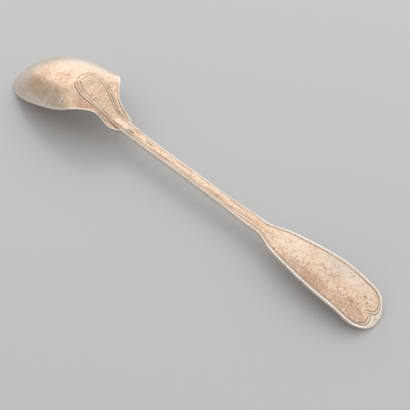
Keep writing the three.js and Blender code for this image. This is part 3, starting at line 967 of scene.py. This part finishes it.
def with_streaks(tree, where, streaked, colour):
    """Dark and light streaks along the spoon, laid over a colour."""
    streaks = cloudy(tree, drawn_out(tree, where, 0, STREAK_SIZE), 1.0, 3, 0.6)
    dark = times(tree, ease(tree, streaks, 0.46, 0.66), DARK_STREAK_STRENGTH)
    colour = blend(tree, times(tree, dark, streaked), colour, SPOT_BROWN)
    light = times(tree, ease(tree, streaks, 0.34, 0.5), LIGHT_STREAK_STRENGTH)
    light = minus(tree, LIGHT_STREAK_STRENGTH, light)
    return blend(tree, times(tree, light, streaked), colour, RUBBED_TAN)


def pocks(tree, where, mottles, specks):
    """Dark pinpricks and short curls, gathered in places."""
    curls = near_middle(tree, cloudy(tree, where, CURL_SIZE, 2, 0.5), 0.004, 0.03)
    marks = larger(tree, ease(tree, specks, 0.58, 0.7), times(tree, curls, CURL_STRENGTH))
    return times(tree, marks, ease(tree, mottles, 0.4, 0.6))


def relief(tree, where, mottles, specks, lines):
    """Height of the hammered waves, dimples, grain and scratches, in millimetres."""
    waves = times(tree, cloudy(tree, where, WAVE_SIZE, 2, 0.4), WAVE_HEIGHT)
    height = plus(tree, waves, times(tree, mottles, DIMPLE_HEIGHT))
    height = plus(tree, height, times(tree, specks, GRAIN_HEIGHT))
    return minus(tree, height, times(tree, lines, SCRATCH_DEPTH))


def worn_silver(name, offset, speckled):
    """Silver that follows the marks of its mesh. Its patterns are shifted by the offset."""
    material = bpy.data.materials.new(name)
    material.use_nodes = True
    tree = material.node_tree
    shader = tree.nodes["Principled BSDF"]
    where = node(tree, "ShaderNodeTexCoord", {}).outputs["Object"]
    where = node(tree, "ShaderNodeMapping", {"Vector": where, "Location": offset}).outputs["Vector"]
    grooved, edge, tarnish_and_light_tone, streaked = [
        node(tree, "ShaderNodeAttribute", {}, attribute_name=mark).outputs["Fac"] for mark in MARKS
    ]

    blotches = cloudy(tree, where, BLOTCH_SIZE, 4, 0.6)
    mottles = cloudy(tree, where, MOTTLE_SIZE, 5, 0.75)
    specks = cloudy(tree, where, SPECK_SIZE, 3, 0.7)
    uneven = times(tree, blotches, UNEVEN_BLOTCHES)
    uneven = plus(tree, uneven, times(tree, mottles, UNEVEN_MOTTLES))
    uneven = plus(tree, uneven, times(tree, specks, UNEVEN_SPECKS))
    lines = all_scratches(tree, where)
    pocked = times(tree, pocks(tree, where, mottles, specks), POCK_STRENGTH * speckled)
    # The edge mark: rubbed wear and painted highlights.
    rubbed_and_highlit = times(tree, edge, ease(tree, mottles, 0.3, 0.5))
    dirty = times(tree, grooved, ease(tree, mottles, 0.2, 0.42))

    # Tone from tarnishing and from the painted shade, reflections and highlights.
    colour = tarnish_and_light_colour(tree, uneven, tarnish_and_light_tone)
    spotted = speckles(tree, mottles, specks, tarnish_and_light_tone, speckled)
    colour = blend(tree, spotted, colour, SPOT_BROWN)
    colour = with_streaks(tree, where, streaked, colour)
    colour = blend(tree, times(tree, lines, SCRATCH_STRENGTH), colour, WORN_AND_HIGHLIT_SILVER)
    colour = blend(tree, pocked, colour, SPOT_BROWN)
    colour = blend(tree, times(tree, rubbed_and_highlit, EDGE_WEAR_AND_HIGHLIGHT_STRENGTH), colour, WORN_AND_HIGHLIT_SILVER)
    colour = blend(tree, times(tree, dirty, DIRT_STRENGTH), colour, GROOVE_DIRT)
    tree.links.new(colour, shader.inputs["Base Color"])

    blurred = plus(tree, times(tree, uneven, UNEVEN_ROUGHNESS), CLEAN_ROUGHNESS)
    blurred = plus(tree, blurred, times(tree, dirty, DIRT_ROUGHNESS))
    tree.links.new(blurred, shader.inputs["Roughness"])
    shader.inputs["Metallic"].default_value = 1.0

    height = relief(tree, where, mottles, specks, lines)
    bump = node(tree, "ShaderNodeBump", {"Height": height, "Strength": 1.0, "Distance": MM})
    tree.links.new(bump.outputs["Normal"], shader.inputs["Normal"])
    return material


def dress(piece, material):
    piece.data.materials.clear()
    piece.data.materials.append(material)


# The drop and the handle share one offset, so the patterns run on across the neck.
BOWL_OFFSET = (0, 0, 0)
HANDLE_OFFSET = (0.7, 0.2, 0.1)
BOWL_SPECKLED = 0.7
HANDLE_SPECKLED = 1

bowl = make_bowl()
drop = make_drop()
handle = make_handle()
dress(bowl, worn_silver("bowl_silver", BOWL_OFFSET, BOWL_SPECKLED))
dress(drop, worn_silver("drop_silver", HANDLE_OFFSET, HANDLE_SPECKLED))
dress(handle, worn_silver("handle_silver", HANDLE_OFFSET, HANDLE_SPECKLED))


# The floor, the light and the camera, in metres.
FLOOR_HALF_SIZE = 8
FLOOR_GREY = (0.58, 0.58, 0.58)
FLOOR_ROUGHNESS = 0.3
ROOM_LIGHT = 0.55

# The softboxes: place, width and height, and power in watts. All face the middle of the spoon.
SOFTBOXES = {
    "softbox_behind": ((-0.89, 0.93, 0.64), (2.7, 1.56), 9.5),
    "softbox_right": ((0.9, 0.5, 0.95), (2.0, 1.9), 5.2),
    "softbox_overhead": ((-0.38, -0.06, 1.38), (1.75, 1.75), 3.8),
}

CAMERA_PLACE = (0.25227, -0.22927, 0.37205)
CAMERA_AZIMUTH = math.radians(44.695)
CAMERA_TILT = math.radians(90 - 49.351)
CAMERA_ROLL = math.radians(-0.924)
CAMERA_LENS = 70.83
CAMERA_SENSOR = 36


def plain_material(name, colour, roughness):
    material = bpy.data.materials.new(name)
    material.use_nodes = True
    shader = material.node_tree.nodes["Principled BSDF"]
    shader.inputs["Base Color"].default_value = (*colour, 1)
    shader.inputs["Roughness"].default_value = roughness
    return material


def make_floor():
    sheet = bmesh.new()
    bmesh.ops.create_grid(sheet, x_segments=1, y_segments=1, size=FLOOR_HALF_SIZE)
    mesh = bpy.data.meshes.new("floor")
    sheet.to_mesh(mesh)
    sheet.free()
    floor = bpy.data.objects.new("floor", mesh)
    bpy.context.scene.collection.objects.link(floor)
    floor.data.materials.append(plain_material("pale_floor", FLOOR_GREY, FLOOR_ROUGHNESS))


def soft_light(name, place, size, power):
    lamp = bpy.data.lights.new(name, "AREA")
    lamp.shape = "RECTANGLE"
    lamp.size, lamp.size_y = size
    lamp.energy = power
    light = bpy.data.objects.new(name, lamp)
    light.location = place
    light.rotation_euler = (-Vector(place)).to_track_quat("-Z", "Y").to_euler()
    bpy.context.scene.collection.objects.link(light)


def make_camera():
    data = bpy.data.cameras.new("camera")
    data.sensor_width = CAMERA_SENSOR
    data.lens = CAMERA_LENS
    data.clip_start = 0.01
    camera = bpy.data.objects.new("camera", data)
    turn = Matrix.Rotation(CAMERA_AZIMUTH, 4, "Z") @ Matrix.Rotation(CAMERA_TILT, 4, "X")
    turn = turn @ Matrix.Rotation(CAMERA_ROLL, 4, "Z")
    camera.matrix_world = Matrix.Translation(CAMERA_PLACE) @ turn
    bpy.context.scene.collection.objects.link(camera)
    bpy.context.scene.camera = camera


def make_world():
    world = bpy.data.worlds.new("studio")
    bpy.context.scene.world = world
    world.use_nodes = True
    background = world.node_tree.nodes["Background"]
    background.inputs["Color"].default_value = (1, 1, 1, 1)
    background.inputs["Strength"].default_value = ROOM_LIGHT


make_floor()
make_world()
for name, (place, size, power) in SOFTBOXES.items():
    soft_light(name, place, size, power)
make_camera()
bpy.context.scene.view_settings.view_transform = "Standard"
